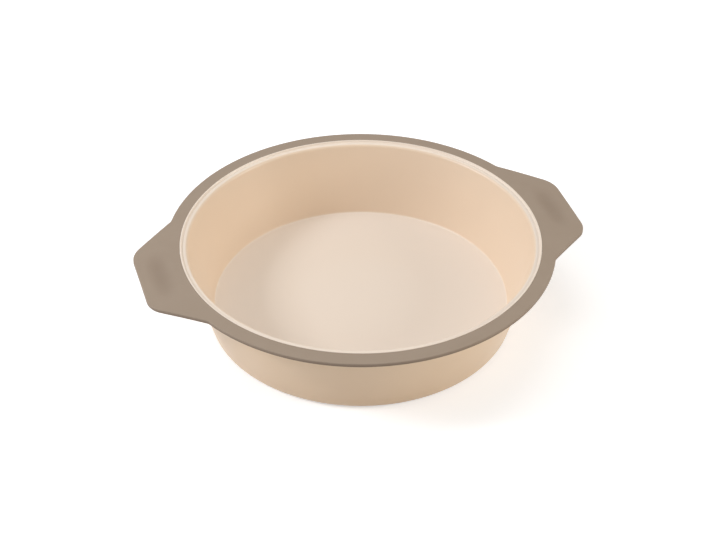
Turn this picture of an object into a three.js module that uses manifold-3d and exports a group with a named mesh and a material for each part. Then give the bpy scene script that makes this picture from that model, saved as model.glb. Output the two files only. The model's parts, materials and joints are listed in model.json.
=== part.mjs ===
// A round cake pan: a cream silicone body, a taupe silicone rim with two tab handles moulded over
// the body's edge, and a steel wire frame inside the rim. Millimetres, +Z up. The origin is the
// middle of the face that the pan rests on, and the handles lie along X.

import * as THREE from 'three';
import { LoftGeometry } from 'three/addons/geometries/LoftGeometry.js';
import { mergeVertices } from 'three/addons/utils/BufferGeometryUtils.js';
import Module from 'manifold-3d';

const wasm = await Module();
wasm.setup();

// Rim ring, sloping down and outwards from the lip
const rimOuterRadius = 123.3;
const rimWidth = 9.15;
const rimThickness = 2.4;
const rimEdgeRadius = 0.4;
const rimSlopeDegrees = 5.4;
const rimTop = 57.8; // inner edge of the rim's top above the resting face

// Tab handles, which carry on the rim's slope
const handleOverhang = 18.5; // past the rim's outer edge
const handleEndWidth = 55.4; // between the sharp corners of the outer edge
const handleFlareDegrees = 39.9; // from the handle's axis to a slanted edge
const handleCornerRadius = 16.7;
const handleRootRadius = 5.6;

// Thumb recess in the top of each handle
const recessLength = 50;
const recessWidth = 17;
const recessDepth = 1;
const recessInset = 13.3; // from the handle's end to the middle of the recess

// Lip round the mouth, in two small steps
const lipRise = 0.2; // above the inner edge of the rim's top
const lipLandWidth = 0.9;
const lipStep = 1;
const lipStepRun = 0.55;
const lipWidth = 4.35; // from the rim to where the wall would meet the lower step
const lipEdgeRadius = 0.2;
const lipCornerRadius = 2.3;

// Wall and floor
const wallDraftDegrees = 15.1; // outside of the wall from vertical
const wallThickness = 2.2; // at the underside of the rim
const wallFootThickness = 5.1; // at the floor
const flangeFillet = 1.5;
const insideDepth = 46.3; // from the rim's top to the floor
const floorThickness = 3;
const floorCornerRadius = 1.6;

// Foot ring, round a recess under the floor
const footWidth = 8.9; // from where the wall would meet the resting face to the recess
const footCornerRadius = 5.7;
const footEdgeRadius = 1;
const underDraftDegrees = 5;
const underCornerRadius = 3;

// Steel wire frame
const wireDiameter = 1;
const hoopInset = 4; // from the rim's outer edge to the middle of the wire
const loopInset = 4; // from the handle's edges to the middle of the wire
const loopBend = 9; // length of wire path that each bend takes from a straight

// Fits and facets
const fitGap = 0.3; // between pieces moulded or laid against each other
const roundSegments = 72;
const wireSides = 8;
const loopSteps = 24;
const degrees = Math.PI / 180;
const roundStep = 2 * Math.PI / roundSegments;
const roundingSlack = 1e-6; // share of a step by which an angle may miss a whole number of steps
const cornerStep = 20 * degrees;

// Levels and radii that follow from the sizes above
const lipTop = rimTop + lipRise;
const lipFoot = lipTop - lipStep;
const lipRadius = rimOuterRadius - rimWidth;
const mouthRadius = lipRadius - lipWidth;
const boreRadius = lipRadius + fitGap;
const hoopRadius = rimOuterRadius - hoopInset;
const wireRadius = wireDiameter / 2;
const grooveRadius = wireRadius + fitGap;
const tongueRadius = hoopRadius - wireRadius - fitGap;
const handleEnd = rimOuterRadius + handleOverhang;
const flare = handleFlareDegrees * degrees;
const rimSlope = Math.tan(rimSlopeDegrees * degrees);

// Top of the rim and its handles, and the middle of their thickness, at a radius from the axis
const rimLevel = (radius) => rimTop - rimSlope * (radius - lipRadius);
const middleLevel = (radius) => rimLevel(radius) - rimThickness / 2;

// Points of the arc round a centre from one point to another, no step wider than the given angle
function arc(centre, from, to, clockwise, step) {
  const start = from.clone().sub(centre);
  const end = to.clone().sub(centre);
  const turn = clockwise ? start.angle() - end.angle() : end.angle() - start.angle();
  const sweep = (turn + 2 * Math.PI) % (2 * Math.PI);
  const radius = start.length();
  const curve = new THREE.EllipseCurve(
    centre.x, centre.y, radius, radius, start.angle(), end.angle(), clockwise);
  return curve.getPoints(Math.ceil(sweep / step));
}

// An open outline through corners [x, y, radius], each one rounded by its radius as far as the
// edges on both sides leave room
function roundOff(corners) {
  const places = corners.map(([x, y]) => new THREE.Vector2(x, y));
  return corners.flatMap(([, , radius], i) => {
    if (!radius) return [places[i]];
    const sides = [i - 1, i + 1].map((other) => {
      const edge = places[other].clone().sub(places[i]);
      const room = edge.length() * (corners[other][2] ? 0.5 : 1);
      return { direction: edge.normalize(), room };
    });
    const [before, after] = sides;
    const halfAngle = Math.acos(before.direction.dot(after.direction)) / 2;
    const reach = Math.min(radius / Math.tan(halfAngle), before.room, after.room);
    const towardsCentre = before.direction.clone().add(after.direction).normalize();
    const centre = places[i].clone().addScaledVector(towardsCentre, reach / Math.cos(halfAngle));
    const from = places[i].clone().addScaledVector(before.direction, reach);
    const to = places[i].clone().addScaledVector(after.direction, reach);
    const clockwise = before.direction.cross(after.direction) > 0;
    return arc(centre, from, to, clockwise, cornerStep);
  });
}

// A section of radius and height turned round Z
function turned(section) {
  const geometry = new THREE.LatheGeometry(section, roundSegments);
  return geometry.rotateX(Math.PI / 2);
}

// A closed geometry as a solid that can be cut: corners that meet are merged, and the flat
// triangles that a turned section leaves on its axis are dropped
function solidOf(geometry) {
  const bare = new THREE.BufferGeometry().copy(geometry);
  bare.deleteAttribute('normal');
  bare.deleteAttribute('uv');
  const merged = mergeVertices(bare);
  const corners = merged.index.array;
  const kept = [];
  for (let i = 0; i < corners.length; i += 3) {
    const [a, b, c] = corners.slice(i, i + 3);
    if (a !== b && b !== c && c !== a) kept.push(a, b, c);
  }
  return new wasm.Manifold(new wasm.Mesh({
    numProp: 3,
    vertProperties: merged.attributes.position.array,
    triVerts: Uint32Array.from(kept),
  }));
}

// A cut solid as a geometry again
function geometryOf(solid) {
  const mesh = solid.getMesh();
  const geometry = new THREE.BufferGeometry();
  geometry.setAttribute('position', new THREE.BufferAttribute(mesh.vertProperties, 3));
  geometry.setIndex(new THREE.BufferAttribute(mesh.triVerts, 1));
  geometry.computeVertexNormals();
  return geometry;
}

// A regular polygon with a flat side up, for wires and their channels
function wireSection(radius, centre = new THREE.Vector2()) {
  return Array.from({ length: wireSides }, (_, i) => {
    const angle = (i + 0.5) * 2 * Math.PI / wireSides;
    return new THREE.Vector2(Math.cos(angle), Math.sin(angle)).multiplyScalar(radius).add(centre);
  });
}

// Body: the section runs out along the underside of the floor, round the foot ring, up the outside
// of the wall to the flange and its tongue, over the lip, and down the inside to the floor
function bodyGeometry() {
  const draft = Math.tan(wallDraftDegrees * degrees);
  const floorTop = rimTop - insideDepth;
  const floorBottom = floorTop - floorThickness;
  const flangeBottom = rimTop - rimThickness;

  // The inside runs straight from the floor to the mouth, and the outside from the foot to the
  // flange, with the two wall thicknesses between them
  const flangeShare = (flangeBottom - floorTop) / (lipFoot - floorTop);
  const outsideRun = draft * (flangeBottom - floorTop);
  const insideRun = (outsideRun + wallFootThickness - wallThickness) / flangeShare;
  const floorRadius = mouthRadius - insideRun;
  const outsideTop = floorRadius + wallFootThickness + outsideRun;
  const footRadius = outsideTop - draft * flangeBottom;
  const recessRadius = footRadius - footWidth;
  const recessTopRadius = recessRadius - floorBottom * Math.tan(underDraftDegrees * degrees);

  return turned(roundOff([
    [0, floorBottom, 0],
    [recessTopRadius, floorBottom, underCornerRadius],
    [recessRadius, 0, footEdgeRadius],
    [footRadius, 0, footCornerRadius],
    [outsideTop, flangeBottom, flangeFillet],
    [lipRadius, flangeBottom, 0],
    [lipRadius, middleLevel(lipRadius) - wireRadius, 0],
    [tongueRadius, middleLevel(tongueRadius) - wireRadius, 0],
    [tongueRadius, middleLevel(tongueRadius) + wireRadius, 0],
    [lipRadius, middleLevel(lipRadius) + wireRadius, 0],
    [lipRadius, lipTop, lipEdgeRadius],
    [lipRadius - lipLandWidth, lipTop, lipEdgeRadius],
    [lipRadius - lipLandWidth - lipStepRun, lipFoot, lipEdgeRadius],
    [mouthRadius, lipFoot, lipCornerRadius],
    [floorRadius, floorTop, floorCornerRadius],
    [0, floorTop, 0],
  ]));
}

// Outline of the rim and both handles, counter-clockwise, with no step wider than the round step
// as seen from the axis
function rimOutline() {
  const endCorner = new THREE.Vector2(handleEnd, handleEndWidth / 2);
  const alongEdge = new THREE.Vector2(-Math.cos(flare), Math.sin(flare));
  const acrossEdge = new THREE.Vector2(Math.sin(flare), Math.cos(flare));

  // The root fillet touches the slanted edge and the rim's circle from outside
  const offset = endCorner.clone().addScaledVector(acrossEdge, handleRootRadius);
  const nearest = -offset.dot(alongEdge);
  const fromAxis = offset.lengthSq() - nearest ** 2;
  const rootReach = nearest - Math.sqrt((rimOuterRadius + handleRootRadius) ** 2 - fromAxis);
  const rootCentre = offset.addScaledVector(alongEdge, rootReach);
  const rootOnEdge = endCorner.clone().addScaledVector(alongEdge, rootReach);
  const rootOnRim = rootCentre.clone().setLength(rimOuterRadius);
  const rootArc = arc(rootCentre, rootOnEdge, rootOnRim, true, cornerStep);

  // One half is the right handle and the rim as far as the left handle, and the other half is the
  // same turned by half a turn
  const below = (point) => new THREE.Vector2(point.x, -point.y);
  const end = roundOff([
    [rootOnEdge.x, -rootOnEdge.y, 0],
    [endCorner.x, -endCorner.y, handleCornerRadius],
    [endCorner.x, endCorner.y, handleCornerRadius],
    [rootOnEdge.x, rootOnEdge.y, 0],
  ]);
  const farSide = new THREE.Vector2(-rootOnRim.x, rootOnRim.y);
  const rimArc = arc(new THREE.Vector2(), rootOnRim, farSide, false, roundStep);
  const half = [
    ...rootArc.map(below).reverse(),
    ...end.slice(1, -1),
    ...rootArc,
    ...rimArc.slice(1, -1),
  ];
  const corners = [...half, ...half.map((point) => point.clone().negate())];
  return corners.flatMap((point, i) => {
    const next = corners[(i + 1) % corners.length];
    const seenAngle = Math.asin(point.cross(next) / point.length() / next.length());
    const count = Math.ceil(seenAngle / roundStep - roundingSlack);
    return Array.from({ length: count }, (_, k) => point.clone().lerp(next, k / count));
  });
}

// The rim's plate: sections from the bore to a rounded edge, set along the outline
function rimPlate() {
  const edgeTop = arc(
    new THREE.Vector2(rimEdgeRadius, -rimEdgeRadius), new THREE.Vector2(rimEdgeRadius, 0),
    new THREE.Vector2(0, -rimEdgeRadius), false, cornerStep);
  const edgeBottom = edgeTop.map(({ x, y }) => new THREE.Vector2(x, -rimThickness - y)).reverse();
  const edge = [...edgeTop, ...edgeBottom];

  const outline = rimOutline();
  const sections = outline.map((point, i) => {
    const before = outline.at(i - 1);
    const after = outline[(i + 1) % outline.length];
    const along = after.clone().sub(before).normalize();
    const inwards = new THREE.Vector2(-along.y, along.x);
    const lifted = (place, drop) => (
      new THREE.Vector3(place.x, place.y, rimLevel(place.length()) + drop));
    const bore = point.clone().setLength(boreRadius);
    return [
      lifted(bore, 0),
      ...edge.map(({ x, y }) => lifted(point.clone().addScaledVector(inwards, x), y)),
      lifted(bore, -rimThickness),
    ];
  });
  return new LoftGeometry([...sections, sections[0]]);
}

// Path of a handle's wire at a distance inside the handle's edges, from one side of the hoop to
// the other, its ends at the given radius from the pan's axis
function loopPath(endRadius) {
  const x = handleEnd - loopInset;
  const y = handleEndWidth / 2 - loopInset * (1 - Math.sin(flare)) / Math.cos(flare);
  const corner = new THREE.Vector2(x, y);
  const alongLeg = new THREE.Vector2(-Math.cos(flare), Math.sin(flare));
  const nearest = x * Math.cos(flare) - y * Math.sin(flare);
  const legLength = nearest - Math.sqrt(endRadius ** 2 - corner.lengthSq() + nearest ** 2);
  const legEnd = corner.clone().addScaledVector(alongLeg, legLength);
  const bendOnLeg = corner.clone().addScaledVector(alongLeg, loopBend);
  const bendOnEnd = new THREE.Vector2(x, y - loopBend);

  const lifted = ({ x: across, y: along }, side) => (
    new THREE.Vector3(across, side * along, middleLevel(Math.hypot(across, along))));
  const [legStart, bendStart, firstCorner, endStart] =
    [legEnd, bendOnLeg, corner, bendOnEnd].map((point) => lifted(point, -1));
  const [endStop, secondCorner, bendStop, legStop] =
    [bendOnEnd, corner, bendOnLeg, legEnd].map((point) => lifted(point, 1));
  const path = new THREE.CurvePath();
  path.add(new THREE.LineCurve3(legStart, bendStart));
  path.add(new THREE.QuadraticBezierCurve3(bendStart, firstCorner, endStart));
  path.add(new THREE.LineCurve3(endStart, endStop));
  path.add(new THREE.QuadraticBezierCurve3(endStop, secondCorner, bendStop));
  path.add(new THREE.LineCurve3(bendStop, legStop));
  return path;
}

// A wire, or the channel for one, along a path in the right handle
function wireGeometry(radius, path) {
  const section = new THREE.Shape(wireSection(radius));
  return new THREE.ExtrudeGeometry(section, { steps: loopSteps, extrudePath: path });
}

// Rim and handles: the plate with a groove in its bore for the body's tongue and the hoop, a
// channel for the wire in each handle and a recess for the thumb
function rimGeometry() {
  const hoopCentre = new THREE.Vector2(hoopRadius, middleLevel(hoopRadius));
  const grooveBottom = hoopCentre.clone().add(new THREE.Vector2(0, -grooveRadius));
  const grooveTop = hoopCentre.clone().add(new THREE.Vector2(0, grooveRadius));
  const mouth = new THREE.Vector2(lipRadius, middleLevel(lipRadius) - grooveRadius);
  const groove = turned([
    mouth,
    ...arc(hoopCentre, grooveBottom, grooveTop, false, 2 * Math.PI / wireSides),
    new THREE.Vector2(lipRadius, middleLevel(lipRadius) + grooveRadius),
    mouth,
  ]);

  // A shallow cap of a stretched ball, as deep as the share of the ball's radius
  const capShare = 0.3;
  const capRadius = Math.sqrt(1 - (1 - capShare) ** 2);
  const recessMiddle = handleEnd - recessInset;
  const recess = new THREE.SphereGeometry(1, 28, 20);
  recess.rotateX(Math.PI / 2);
  recess.translate(0, 0, 1 - capShare);
  recess.scale(recessWidth / 2 / capRadius, recessLength / 2 / capRadius, recessDepth / capShare);
  recess.rotateY(rimSlopeDegrees * degrees);
  recess.translate(recessMiddle, 0, rimLevel(recessMiddle));

  const channel = wireGeometry(grooveRadius, loopPath(hoopRadius));
  let rim = solidOf(rimPlate()).subtract(solidOf(groove));
  for (const turn of [0, Math.PI]) {
    rim = rim.subtract(solidOf(channel.clone().rotateZ(turn)));
    rim = rim.subtract(solidOf(recess.clone().rotateZ(turn)));
  }
  return geometryOf(rim);
}

// Hoop: the wire's section turned round the pan's axis
function hoopGeometry() {
  const section = wireSection(wireRadius, new THREE.Vector2(hoopRadius, middleLevel(hoopRadius)));
  return turned([...section, section[0]]);
}

// Finishes: satin cream silicone, matte taupe silicone, bare steel
const finishes = {
  cream: { color: 0xe9d8c4, roughness: 0.42, metalness: 0 },
  taupe: { color: 0xaa9786, roughness: 0.75, metalness: 0 },
  steel: { color: 0xb8bcc0, roughness: 0.35, metalness: 1 },
};

function piece(name, geometry, finish) {
  const mesh = new THREE.Mesh(geometry, new THREE.MeshStandardMaterial(finishes[finish]));
  mesh.name = name;
  return mesh;
}

const pan = new THREE.Group();
pan.add(piece('pan_body', bodyGeometry(), 'cream'));
pan.add(piece('rim_grip', rimGeometry(), 'taupe'));
pan.add(piece('frame_hoop', hoopGeometry(), 'steel'));

// The ends of each handle's wire stand square to it, so they stop a wire's radius further out
const loopEndRadius = hoopRadius + wireDiameter + fitGap;
for (const [side, turn] of [['right', 0], ['left', Math.PI]]) {
  const loop = piece(`handle_loop_${side}`, wireGeometry(wireRadius, loopPath(loopEndRadius)), 'steel');
  loop.rotation.z = turn;
  pan.add(loop);
}

export default pan;
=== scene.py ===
import json
import math
import bpy
import numpy as np
from mathutils import Matrix, Vector

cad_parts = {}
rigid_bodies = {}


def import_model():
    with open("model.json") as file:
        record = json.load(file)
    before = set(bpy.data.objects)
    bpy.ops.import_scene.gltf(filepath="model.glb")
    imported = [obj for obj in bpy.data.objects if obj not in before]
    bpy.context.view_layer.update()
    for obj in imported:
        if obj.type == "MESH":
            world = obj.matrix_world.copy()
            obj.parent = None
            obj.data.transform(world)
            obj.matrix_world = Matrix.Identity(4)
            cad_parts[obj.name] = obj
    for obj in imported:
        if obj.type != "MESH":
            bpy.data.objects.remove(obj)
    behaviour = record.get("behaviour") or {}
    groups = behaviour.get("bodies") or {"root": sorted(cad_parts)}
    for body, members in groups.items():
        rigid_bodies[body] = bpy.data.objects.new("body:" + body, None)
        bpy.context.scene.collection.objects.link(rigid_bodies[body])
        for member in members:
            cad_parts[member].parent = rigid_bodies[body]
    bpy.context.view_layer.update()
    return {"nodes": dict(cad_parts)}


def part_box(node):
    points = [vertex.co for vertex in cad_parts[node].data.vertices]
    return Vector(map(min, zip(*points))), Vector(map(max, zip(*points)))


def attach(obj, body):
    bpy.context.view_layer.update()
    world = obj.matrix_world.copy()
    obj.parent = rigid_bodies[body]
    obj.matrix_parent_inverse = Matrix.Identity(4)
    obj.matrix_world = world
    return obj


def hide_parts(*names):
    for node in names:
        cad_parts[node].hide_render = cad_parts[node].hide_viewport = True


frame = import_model()
mm = 0.001
scene = bpy.context.scene
scene.view_settings.view_transform = "Standard"
print("frame loaded:", ", ".join(sorted(frame["nodes"])))

# levels and reaches that the CAD pieces already settle, in millimetres
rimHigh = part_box("rim_grip")[1]
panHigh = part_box("pan_body")[1]
rimTop = rimHigh.z / mm  # inner edge of the rim, its highest line
handleEnd = rimHigh.x / mm
lipTop = panHigh.z / mm


# camera, fitted to the rim, lip, base and handle edges
cameraView = {
    "elevation": 36.94,  # degrees down onto the rim
    "turn": 16.7,  # right handle swings this far away from the lens
    "distance": 1.1382,  # along the lens axis, to the level of the rim
    "slideRight": -0.0018,
    "slideUp": -0.02,
    "lens": 90.6,
    "sensor": 36.0,
    "clip": (0.01, 50),
}


def placeCamera(view):
    tilt = math.radians(view["elevation"])
    turn = math.radians(view["turn"])
    right = Vector((math.cos(turn), -math.sin(turn), 0))
    away = Vector((math.sin(turn), math.cos(turn), 0))
    forward = away * math.cos(tilt) - Vector((0, 0, math.sin(tilt)))
    up = right.cross(forward)
    data = bpy.data.cameras.new("panCamera")
    data.lens = view["lens"]
    data.sensor_width = view["sensor"]
    data.sensor_fit = "HORIZONTAL"
    data.clip_start, data.clip_end = view["clip"]
    camera = bpy.data.objects.new("panCamera", data)
    scene.collection.objects.link(camera)
    place = Vector((0, 0, rimTop * mm)) - forward * view["distance"]
    place += right * view["slideRight"] + up * view["slideUp"]
    axes = Matrix((right, up, -forward)).transposed().to_4x4()
    camera.matrix_world = Matrix.Translation(place) @ axes
    scene.camera = camera


placeCamera(cameraView)
print("camera placed")


# arc about a centre: angles spread evenly from start to end
def arcPoints(centre, radius, start, end, count):
    angle = np.linspace(start, end, count)
    return np.array(centre) + radius * np.stack([np.cos(angle), np.sin(angle)], 1)


# corner (x, y, radius) rounded between its neighbours: the arc touches both edges at
# radius / tan(half the corner's angle) from the corner
def roundCorner(before, corner, after, count):
    at, radius = np.array(corner[:2]), corner[2]
    if radius == 0:
        return at[None]
    a = np.array(before[:2]) - at
    b = np.array(after[:2]) - at
    a, b = a / np.linalg.norm(a), b / np.linalg.norm(b)
    half = math.acos(np.clip(a @ b, -1, 1)) / 2
    centre = at + (a + b) / np.linalg.norm(a + b) * radius / math.sin(half)
    start = math.atan2(*(at + a * radius / math.tan(half) - centre)[::-1])
    end = math.atan2(*(at + b * radius / math.tan(half) - centre)[::-1])
    end = start + (end - start + math.pi) % (2 * math.pi) - math.pi  # the short way round
    return arcPoints(centre, radius, start, end, count)


# line of rounded corners, its straights split so that points crowd towards both ends (cosine spacing)
def roundedLine(corners, arcCount, straightCount):
    last = len(corners) - 1
    runs = [roundCorner(corners[max(i - 1, 0)], c, corners[min(i + 1, last)], arcCount)
            for i, c in enumerate(corners)]
    share = (0.5 - 0.5 * np.cos(np.linspace(0, np.pi, straightCount)))[1:-1, None]
    line = [runs[0]]
    for run in runs[1:]:
        line += [line[-1][-1] + (run[0] - line[-1][-1]) * share, run]
    return np.concatenate(line)


# mesh from a grid of points that closes on itself both ways, or only round the first way with a
# point closing each end of the second
def gridMesh(name, grid, ends=None):
    rows, columns = grid.shape[:2]
    index = np.arange(rows * columns).reshape(rows, columns)
    ring = np.roll(index, -1, 0)
    if ends is None:
        a, b = index, ring
        c, d = np.roll(ring, -1, 1), np.roll(index, -1, 1)
    else:
        a, b, c, d = index[:, :-1], ring[:, :-1], ring[:, 1:], index[:, 1:]
    faces = np.stack([a, b, c, d], -1).reshape(-1, 4).tolist()
    points = grid.reshape(-1, 3)
    if ends is not None:
        first, last = rows * columns, rows * columns + 1
        faces += np.stack([ring[:, 0], index[:, 0], np.full(rows, first)], 1).tolist()
        faces += np.stack([index[:, -1], ring[:, -1], np.full(rows, last)], 1).tolist()
        points = np.concatenate([points, ends])
    mesh = bpy.data.meshes.new(name)
    mesh.from_pydata((points * mm).tolist(), [], faces)
    mesh.polygons.foreach_set("use_smooth", np.ones(len(mesh.polygons), bool))
    mesh.validate()
    piece = bpy.data.objects.new(name, mesh)
    scene.collection.objects.link(piece)
    return piece


# rim and handles: the outline runs round the rim, and the section runs over the top, round the
# outer edge and back underneath
rimSkin = {
    "innerRadius": 114.2,
    "boreRadius": 114.45,  # where the CAD rim is highest
    "outerRadius": 123.15,
    "slope": 3.3,  # degrees down and outwards, on the ring
    "tabSlope": 6.7,  # on the handles
    "easeReach": (119, 131),  # radii between which the slope grows
    "thickness": 2.4,
    "innerEdge": 0.15,
    "outerEdge": 0.4,
    "endWidth": 55.4,  # of a handle's end, before its corners are rounded
    "flare": 39.9,  # degrees between a handle's slanted side and the line through both handles
    "endCorner": 16.7,
    "root": 5.6,  # fillet between handle and ring
    "recessLength": 54.0,
    "recessWidth": 19.0,
    "recessDepth": 0.9,
    "recessInset": 13.3,  # middle of the dish, in from the handle's end
    # painted shade: shares of the darker tone in the middle of each dish and on the underside
    "dishShade": 0.32,
    "underShade": 0.2,
    # counts of points
    "across": 48,
    "rootCount": 12,
    "ringCount": 140,
    "cornerCount": 20,
    "straightCount": 36,
    "outerCount": 25,
    "innerCount": 13,
}


# outline of the right handle and half the rim, counter-clockwise: straight end and slanted sides
# with rounded corners, a root fillet on the rim's circle, and the circle as far as the left handle;
# the fillet's centre is where a line one root radius off the slanted side meets a circle one root
# radius outside the rim
def halfOutline(p):
    flare, root = math.radians(p["flare"]), p["root"]
    corner = np.array([handleEnd, p["endWidth"] / 2])
    along = np.array([-math.cos(flare), math.sin(flare)])
    out = np.array([math.sin(flare), math.cos(flare)])
    offset = corner + out * root
    nearest = -offset @ along
    reach = nearest - math.sqrt((p["outerRadius"] + root) ** 2 - (offset @ offset - nearest ** 2))
    rootCentre, rootOnEdge = offset + along * reach, corner + along * reach
    rootAngle = math.atan2(rootCentre[1], rootCentre[0])
    edgeAngle = math.atan2(*(rootOnEdge - rootCentre)[::-1])
    upperRoot = arcPoints(rootCentre, root, edgeAngle, rootAngle - np.pi, p["rootCount"])
    rim = arcPoints((0, 0), p["outerRadius"], rootAngle, np.pi - rootAngle, p["ringCount"])
    ends = [(rootOnEdge[0], -rootOnEdge[1], 0), (handleEnd, -corner[1], p["endCorner"]),
            (handleEnd, corner[1], p["endCorner"]), (*rootOnEdge, 0)]
    tab = roundedLine(ends, p["cornerCount"], p["straightCount"])
    return np.concatenate([(upperRoot * [1, -1])[::-1], tab[1:-1], upperRoot, rim[1:-1]])


# height of the rim's top: a cone about the pan's axis, whose slope grows evenly to the handles' slope
# between two radii, so the height bends there as a parabola
def rimLevel(p, place):
    radius = np.linalg.norm(place, axis=-1)
    ring, tab = math.tan(math.radians(p["slope"])), math.tan(math.radians(p["tabSlope"]))
    start, end = p["easeReach"]
    eased = np.clip(radius, start, end) - start
    bend = eased ** 2 / (2 * (end - start)) + np.maximum(radius - end, 0)
    return rimTop - ring * (radius - p["boreRadius"]) - (tab - ring) * bend


def makeRim(p):
    half = halfOutline(p)
    outline = np.concatenate([half, -half])
    step = np.roll(outline, -1, 0) - np.roll(outline, 1, 0)
    normal = np.stack([step[:, 1], -step[:, 0]], 1) / np.linalg.norm(step, axis=1)[:, None]
    edge, lip, thick = p["outerEdge"], p["innerEdge"], p["thickness"]
    inward = outline / np.linalg.norm(outline, axis=1)[:, None] * (p["innerRadius"] + lip)
    shoulder = outline - normal * edge

    # section: across the top (share 0 at the lip, 1 at the shoulder), round the edge by quarter
    # circles, back across the underside, and up the inner face
    share = 0.5 - 0.5 * np.cos(np.linspace(0, np.pi, p["across"]))
    top = inward[:, None] + (shoulder - inward)[:, None] * share[:, None]
    quarter = np.linspace(np.pi / 2, -np.pi / 2, p["outerCount"])[1:-1]
    outer = shoulder[:, None] + normal[:, None] * (edge * np.cos(quarter))[:, None]
    outerDrop = np.where(quarter > 0, -edge, edge - thick) + edge * np.sin(quarter)
    turn = np.linspace(-np.pi / 2, -1.5 * np.pi, p["innerCount"])[1:-1]
    inner = inward[:, None] * (1 + lip * np.cos(turn) / (p["innerRadius"] + lip))[:, None]
    innerDrop = np.where(np.sin(turn) < 0, lip - thick, -lip) + lip * np.sin(turn)

    # thumb recess: an oblong dish whose depth falls off as a squared cosine from the middle to its border
    across = (np.abs(top[..., 0]) - handleEnd + p["recessInset"]) / (p["recessWidth"] / 2)
    length = top[..., 1] / (p["recessLength"] / 2)
    hollow = np.cos(np.pi / 2 * np.clip(np.sqrt(across ** 2 + np.abs(length) ** 3), 0, 1)) ** 2
    dish = p["recessDepth"] * hollow

    # values along one part of the section, the same at every point of the outline
    def allRound(values):
        return np.broadcast_to(values, (len(outline), len(values)))

    xy = np.concatenate([top, outer, top[:, ::-1], inner], 1)
    underside = np.ones(dish.shape)
    drop = np.concatenate([-dish, allRound(outerDrop), -thick * underside, allRound(innerDrop)], 1)
    z = rimLevel(p, xy) + drop
    skin = gridMesh("rim_skin", np.concatenate([xy, z[..., None]], -1)[:, ::-1])

    # painted shade: a darker tone painted as shade, deepest at the foot of the outer edge where it turns
    # down, weaker on the underside and in the middle of each dish
    paintedShade = np.concatenate([p["dishShade"] * hollow, allRound(-outerDrop / thick),
                              p["underShade"] * underside, allRound(innerDrop * 0)], 1)
    shade = skin.data.attributes.new("paintedShade", "FLOAT", "POINT")
    shade.data.foreach_set("value", paintedShade[:, ::-1].ravel().astype(np.float32))
    return skin


rim = makeRim(rimSkin)
print("rim and handles:", len(rim.data.polygons), "faces")


# pan body: a section of radius and height turned once round the pan's axis
panSkin = {
    "lipRadius": 114.15,
    "lipLand": 0.9,  # upper step of the lip
    "lipStep": 1.0,
    "lipStepRun": 0.55,
    "lipWidth": 4.35,
    "lipEdge": 0.2,
    "lipCorner": 2.3,
    "stepCorner": 0.15,
    "draft": 15.1,  # degrees, outside of the wall
    "wall": 2.2,  # under the rim
    "wallFoot": 5.1,  # at the floor
    "flange": 55.4,  # underside of the rim
    "flangeFillet": 1.5,
    "flangeEdge": 0.2,
    "floor": 11.5,  # top of the floor
    "floorThickness": 3.0,
    "floorCorner": 1.4,
    "footWidth": 8.9,
    "footCorner": 5.7,
    "footEdge": 1.0,
    "underDraft": 5.0,
    "underCorner": 3.0,
    "middle": 0.6,  # smallest ring, closed by a point on the axis
    # shares of the painted sheen, a paler tone painted where light and gloss fall
    "wallPaintedSheen": 0.3,
    "paintedSheenRise": 0.5,  # above the floor, where the wall's share is reached
    "middlePaintedSheen": 0.8,  # in the middle of the floor
    "paintedSheenReach": (50, 84),
    "lipPaintedSheen": 0.8,
    "lipPaintedSheenFrom": 0.6,  # below the lip's lower step
    "lipPaintedSheenRise": 0.5,
    # counts of points
    "turns": 288,
    "arcCount": 12,
    "straightCount": 11,
}


def panSection(p):
    draft = math.tan(math.radians(p["draft"]))
    lipFoot = lipTop - p["lipStep"]
    under = p["floor"] - p["floorThickness"]
    mouth = p["lipRadius"] - p["lipWidth"]
    land = p["lipRadius"] - p["lipLand"]
    outRun = draft * (p["flange"] - p["floor"])
    inRun = (outRun + p["wallFoot"] - p["wall"]) * (lipFoot - p["floor"]) / (p["flange"] - p["floor"])
    floorRadius = mouth - inRun
    outTop = floorRadius + p["wallFoot"] + outRun
    foot = outTop - draft * p["flange"]
    recess = foot - p["footWidth"]
    recessTop = recess - under * math.tan(math.radians(p["underDraft"]))
    return roundedLine([
        (p["middle"], under, 0),
        (recessTop, under, p["underCorner"]),
        (recess, 0, p["footEdge"]),
        (foot, 0, p["footCorner"]),
        (outTop, p["flange"], p["flangeFillet"]),
        (p["lipRadius"], p["flange"], p["flangeEdge"]),
        (p["lipRadius"], lipTop, p["lipEdge"]),
        (land, lipTop, p["lipEdge"]),
        (land - p["lipStepRun"], lipFoot, p["stepCorner"]),
        (mouth, lipFoot, p["lipCorner"]),
        (floorRadius, p["floor"], p["floorCorner"]),
        (p["middle"], p["floor"], 0),
    ], p["arcCount"], p["straightCount"])


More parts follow.
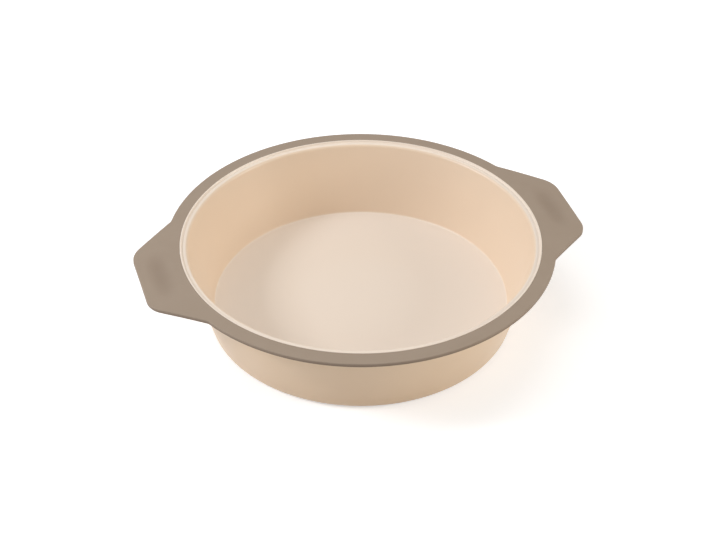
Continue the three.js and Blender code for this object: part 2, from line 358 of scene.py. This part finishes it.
def makePan(p):
    section = panSection(p)
    angle = np.linspace(0, 2 * np.pi, p["turns"], endpoint=False)[:, None]
    grid = np.stack([section[:, 0] * np.cos(angle), section[:, 0] * np.sin(angle),
                     np.broadcast_to(section[:, 1], (p["turns"], len(section)))], -1)
    ends = np.array([[0, 0, section[0, 1]], [0, 0, section[-1, 1]]])
    skin = gridMesh("pan_skin", grid, ends)

    # painted sheen: a paler tone painted as light, with a share of 1 round the edge of the cooking floor
    # as a painted pool of light, less towards its middle, easing to the wall's share just above it, and
    # one of its own on the lip
    r, z = section.T
    inside = np.arange(len(section)) > np.argmax(z)
    rise = np.clip((z - p["floor"]) / p["paintedSheenRise"], 0, 1)
    floorPaintedSheen = np.interp(r, p["paintedSheenReach"], (p["middlePaintedSheen"], 1))
    onFloor = inside * (floorPaintedSheen + (p["wallPaintedSheen"] - floorPaintedSheen) * rise)
    lipStart = lipTop - p["lipStep"] - p["lipPaintedSheenFrom"]
    onLip = p["lipPaintedSheen"] * np.clip((z - lipStart) / p["lipPaintedSheenRise"], 0, 1)
    share = np.tile(np.maximum(onFloor, onLip), p["turns"])
    share = np.append(share, [0, p["middlePaintedSheen"]])  # points on the axis: underside and floor
    paintedSheen = skin.data.attributes.new("paintedSheen", "FLOAT", "POINT")
    paintedSheen.data.foreach_set("value", share.astype(np.float32))
    return skin


pan = makePan(panSkin)
print("pan body:", len(pan.data.polygons), "faces")


# linear colour from one written in steps of 0 to 255
def srgb(*colour):
    c = np.array(colour) / 255
    return (*np.where(c <= 0.04045, c / 12.92, ((c + 0.055) / 1.055) ** 2.4).tolist(), 1)


def newFinish(name):
    finish = bpy.data.materials.new(name)
    finish.use_nodes = True
    nodes, links = finish.node_tree.nodes, finish.node_tree.links
    return finish, nodes, links, nodes["Principled BSDF"]


def noiseAt(nodes, links, vector, scale, detail):
    noise = nodes.new("ShaderNodeTexNoise")
    noise.inputs["Scale"].default_value = scale
    noise.inputs["Detail"].default_value = detail
    links.new(vector, noise.inputs["Vector"])
    return noise.outputs["Fac"]


# moulded silicone: slow clouds of tone, a fine eroded grain in the skin, a gloss that wanders a little,
# and a tone painted as light or shade from an attribute (painted sheen on the cream, painted shade on the
# taupe); scales are counts per metre
creamFinish = {
    "pale": (230, 202, 170),
    "deep": (226, 197, 165),
    "cloud": 22,
    "grain": 1900,
    "grainDepth": 0.00004,
    "gloss": (0.3, 0.38),
    "patch": 70,
    "specular": 0.5,
    # painted sheen: paler tone painted on the floor, walls and lip where light and gloss fall
    "paintedLight": "paintedSheen",
    "paintedLightTone": (237, 223, 208),
}
taupeFinish = {
    "pale": (159, 141, 123),
    "deep": (153, 135, 117),
    "cloud": 30,
    "grain": 1500,
    "grainDepth": 0.00007,
    "gloss": (0.58, 0.7),
    "patch": 90,
    "specular": 0.35,
    # painted shade: darker tone on the rim's outer edge, underside and dishes
    "paintedLight": "paintedShade",
    "paintedLightTone": (120, 100, 82),
}
# what both silicones share
siliconeSkin = {
    "cloudDetail": 3,
    "patchDetail": 2,
    "grainDetail": 2,
    "grainStrength": 0.6,
    "noiseBand": (0.3, 0.7),  # where most of a noise's values lie
}


def siliconeFinish(name, look, skin):
    finish, nodes, links, shader = newFinish(name)
    place = nodes.new("ShaderNodeTexCoord").outputs["Object"]
    tone = nodes.new("ShaderNodeMix")
    tone.data_type = "RGBA"
    tone.inputs["A"].default_value = srgb(*look["deep"])
    tone.inputs["B"].default_value = srgb(*look["pale"])
    links.new(noiseAt(nodes, links, place, look["cloud"], skin["cloudDetail"]), tone.inputs["Factor"])
    # the attribute's share mixes in a tone painted as light or shade
    share = nodes.new("ShaderNodeAttribute")
    share.attribute_name = look["paintedLight"]
    paintedLight = nodes.new("ShaderNodeMix")
    paintedLight.data_type = "RGBA"
    paintedLight.inputs["B"].default_value = srgb(*look["paintedLightTone"])
    links.new(share.outputs["Fac"], paintedLight.inputs["Factor"])
    links.new(tone.outputs["Result"], paintedLight.inputs["A"])
    links.new(paintedLight.outputs["Result"], shader.inputs["Base Color"])
    gloss = nodes.new("ShaderNodeMapRange")
    gloss.inputs["From Min"].default_value, gloss.inputs["From Max"].default_value = skin["noiseBand"]
    gloss.inputs["To Min"].default_value, gloss.inputs["To Max"].default_value = look["gloss"]
    links.new(noiseAt(nodes, links, place, look["patch"], skin["patchDetail"]), gloss.inputs["Value"])
    links.new(gloss.outputs["Result"], shader.inputs["Roughness"])
    bump = nodes.new("ShaderNodeBump")
    bump.inputs["Distance"].default_value = look["grainDepth"]
    bump.inputs["Strength"].default_value = skin["grainStrength"]
    links.new(noiseAt(nodes, links, place, look["grain"], skin["grainDetail"]), bump.inputs["Height"])
    links.new(bump.outputs["Normal"], shader.inputs["Normal"])
    shader.inputs["Specular IOR Level"].default_value = look["specular"]
    return finish


# drawn steel: bright metal with fine draw marks
steelFinish = {
    "pale": (205, 207, 210),
    "deep": (168, 171, 175),
    "marks": 2400,
    "markDetail": 4,
    "stretch": (1, 1, 0.2),
    "gloss": (0.24, 0.42),
}


def steelWire(name, look):
    finish, nodes, links, shader = newFinish(name)
    place = nodes.new("ShaderNodeTexCoord").outputs["Object"]
    squeeze = nodes.new("ShaderNodeMapping")
    squeeze.inputs["Scale"].default_value = look["stretch"]
    links.new(place, squeeze.inputs["Vector"])
    marks = noiseAt(nodes, links, squeeze.outputs["Vector"], look["marks"], look["markDetail"])
    tone = nodes.new("ShaderNodeMix")
    tone.data_type = "RGBA"
    tone.inputs["A"].default_value = srgb(*look["deep"])
    tone.inputs["B"].default_value = srgb(*look["pale"])
    links.new(marks, tone.inputs["Factor"])
    links.new(tone.outputs["Result"], shader.inputs["Base Color"])
    gloss = nodes.new("ShaderNodeMapRange")
    gloss.inputs["To Min"].default_value, gloss.inputs["To Max"].default_value = look["gloss"]
    links.new(marks, gloss.inputs["Value"])
    links.new(gloss.outputs["Result"], shader.inputs["Roughness"])
    shader.inputs["Metallic"].default_value = 1.0
    return finish


pan.data.materials.append(siliconeFinish("creamSilicone", creamFinish, siliconeSkin))
rim.data.materials.append(siliconeFinish("taupeSilicone", taupeFinish, siliconeSkin))
wire = steelWire("drawnSteel", steelFinish)
for name in ("frame_hoop", "handle_loop_right", "handle_loop_left"):
    for wireSlot in frame["nodes"][name].material_slots:
        wireSlot.material = wire
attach(pan, "root")
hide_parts("pan_body")
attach(rim, "root")
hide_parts("rim_grip")
print("finishes set")


# stage: pale floor that shows white to the lens, by a glow that is weaker near the pan and so leaves its
# shadow there
stageLook = {
    "floorSize": 6.0,
    "floorColour": (0.82, 0.82, 0.82, 1),
    "floorRoughness": 0.9,
    "glow": (0.44, 0.7),  # near the pan and far from it
    "glowReach": (0.25, 0.9),
    "ambient": 0.385,
}


# share of 1 for rays that show the background: straight from the lens, mirrored or through glass
def shownRays(nodes, links):
    rays = nodes.new("ShaderNodeLightPath")
    either = nodes.new("ShaderNodeMath")
    either.operation = "MAXIMUM"
    links.new(rays.outputs["Is Camera Ray"], either.inputs[0])
    links.new(rays.outputs["Is Glossy Ray"], either.inputs[1])
    shown = nodes.new("ShaderNodeMath")
    shown.operation = "MAXIMUM"
    links.new(either.outputs[0], shown.inputs[0])
    links.new(rays.outputs["Is Transmission Ray"], shown.inputs[1])
    return shown.outputs[0]


def makeFloor(look):
    s = look["floorSize"] / 2
    mesh = bpy.data.meshes.new("floor")
    mesh.from_pydata([(-s, -s, 0), (s, -s, 0), (s, s, 0), (-s, s, 0)], [], [(0, 1, 2, 3)])
    floor = bpy.data.objects.new("floor", mesh)
    scene.collection.objects.link(floor)
    finish, nodes, links, shader = newFinish("paleFloor")
    shader.inputs["Base Color"].default_value = look["floorColour"]
    shader.inputs["Roughness"].default_value = look["floorRoughness"]
    shader.inputs["Specular IOR Level"].default_value = 0.0
    away = nodes.new("ShaderNodeVectorMath")
    away.operation = "LENGTH"
    links.new(nodes.new("ShaderNodeTexCoord").outputs["Object"], away.inputs[0])
    level = nodes.new("ShaderNodeMapRange")
    level.inputs["From Min"].default_value, level.inputs["From Max"].default_value = look["glowReach"]
    level.inputs["To Min"].default_value, level.inputs["To Max"].default_value = look["glow"]
    links.new(away.outputs["Value"], level.inputs["Value"])
    lift = nodes.new("ShaderNodeMath")
    lift.operation = "MULTIPLY"
    links.new(shownRays(nodes, links), lift.inputs[0])
    links.new(level.outputs["Result"], lift.inputs[1])
    glow = nodes.new("ShaderNodeEmission")
    links.new(lift.outputs[0], glow.inputs["Strength"])
    both = nodes.new("ShaderNodeAddShader")
    links.new(shader.outputs[0], both.inputs[0])
    links.new(glow.outputs[0], both.inputs[1])
    links.new(both.outputs[0], nodes["Material Output"].inputs["Surface"])
    mesh.materials.append(finish)


# world: white where it shows, and the ambient level where it only lights the pan
def makeWorld(look):
    world = bpy.data.worlds.new("studio")
    scene.world = world
    world.use_nodes = True
    nodes, links = world.node_tree.nodes, world.node_tree.links
    level = nodes.new("ShaderNodeMapRange")
    level.inputs["To Min"].default_value = look["ambient"]
    links.new(shownRays(nodes, links), level.inputs["Value"])
    background = nodes["Background"]
    background.inputs["Color"].default_value = (1, 1, 1, 1)
    links.new(level.outputs["Result"], background.inputs["Strength"])


makeFloor(stageLook)
makeWorld(stageLook)

# softboxes, each aimed at the middle of the pan: degrees round it, counter-clockwise from the right of
# the picture, degrees above the floor, size, watts and the white of its tube
softboxes = {
    "leftKey": {"round": 190, "above": 36, "size": 0.35, "watts": 8.0, "tint": (0.93, 1.0, 1.11)},
    "leftFill": {"round": 180, "above": 28, "size": 1.2, "watts": 5.9, "tint": (1.0, 1.0, 1.0)},
    "rightFill": {"round": -12, "above": 20, "size": 0.6, "watts": 9.2, "tint": (1.02, 1.0, 0.95)},
    "backTop": {"round": 90, "above": 76, "size": 0.8, "watts": 4.3, "tint": (1.0, 1.0, 1.0)},
}
softboxDistance = 1.5
panMiddle = Vector((0, 0, 0.03))


def makeSoftbox(name, box):
    lamp = bpy.data.lights.new(name, "AREA")
    lamp.size = box["size"]
    lamp.energy = box["watts"]
    lamp.color = box["tint"]
    holder = bpy.data.objects.new(name, lamp)
    scene.collection.objects.link(holder)
    around = math.radians(box["round"] - cameraView["turn"])
    above = math.radians(box["above"])
    level = math.cos(above)
    toLamp = Vector((level * math.cos(around), level * math.sin(around), math.sin(above)))
    holder.location = panMiddle + toLamp * softboxDistance
    holder.rotation_euler = (-toLamp).to_track_quat("-Z", "Y").to_euler()


for name, box in softboxes.items():
    makeSoftbox(name, box)
print("stage and lamps set")
